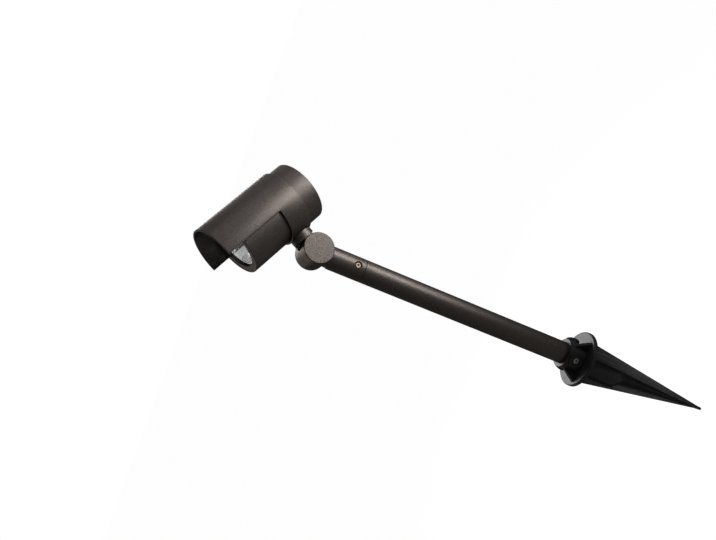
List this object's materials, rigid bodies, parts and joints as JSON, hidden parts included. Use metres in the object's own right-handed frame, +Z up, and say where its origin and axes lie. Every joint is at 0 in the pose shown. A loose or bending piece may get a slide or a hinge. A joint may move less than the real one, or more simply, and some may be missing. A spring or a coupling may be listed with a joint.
{
  "type": "garden spike spotlight",
  "caption": "Garden spotlight on a ground spike and slim pole: a tubular lamp canister in a sleeve with a half-round glare hood, on a tilting, turning knuckle.",
  "frame": {"origin": "on the pole's axis at ground level, at the underside of the spike's flange", "axes": "+Z up along the pole; the head aims towards -X, tilted 28.4 degrees up at rest; the knuckle turns about Y, with its plain face towards -Y"},
  "size_m": [0.1184, 0.0713, 0.6257],
  "materials": {
    "powder_coat": "fine-textured matt powder coat, dark bronze grey",
    "spike_nylon": "moulded glass-filled nylon, matt black",
    "black_rubber": "matt",
    "clear_silicone": "matt, translucent grey",
    "bare_aluminium": "turned, bare",
    "steel": "stainless, turned",
    "brass": "bright, turned",
    "acetal": "smooth, off-white",
    "clear_glass": "clear, flat",
    "capsule_glass": "clear quartz",
    "reflector": "vapour-coated aluminium facets",
    "ceramic": "glazed off-white ceramic"
  },
  "bodies": {
    "ground": {"ground_spike": "spike_nylon", "pole_tube": "powder_coat", "cable_grommet": "black_rubber", "spike_lock_screws": "steel", "pole_spigot": "bare_aluminium", "spigot_seal": "black_rubber"},
    "fitting": {"pole_fitting": "powder_coat", "swivel_lock_screw": "brass", "knuckle_seal": "black_rubber", "friction_washer": "acetal", "knuckle_bolt": "steel", "bolt_washer": "steel"},
    "head": {"head_stem": "powder_coat", "hood_sleeve": "powder_coat", "stem_screws": "steel", "canister_lock_screw": "steel"},
    "canister": {"canister_body": "powder_coat", "front_bezel": "powder_coat", "front_glass": "clear_glass", "glass_gasket": "clear_silicone", "wire_gland": "black_rubber", "lamp_reflector": "reflector", "lamp_capsule": "capsule_glass", "lamp_base": "ceramic", "lamp_pins": "steel", "lampholder": "ceramic", "holder_bracket": "steel", "bracket_screws": "steel", "holder_screws": "steel"}
  },
  "joints": [
    {"name": "fitting_swivel", "type": "hinge", "parent": "ground", "child": "fitting", "pos_m": [0, 0, 0.276], "axis": [0, 0, 1], "range_deg": [-170, 170]},
    {"name": "head_tilt", "type": "hinge", "parent": "fitting", "child": "head", "pos_m": [0, 0, 0.33], "axis": [0, 1, 0], "range_deg": [-108, 51]},
    {"name": "canister_slide", "type": "slide", "parent": "head", "child": "canister", "axis": [-0.8796, 0, 0.4756], "range_m": [0, 0.01]}
  ]
}
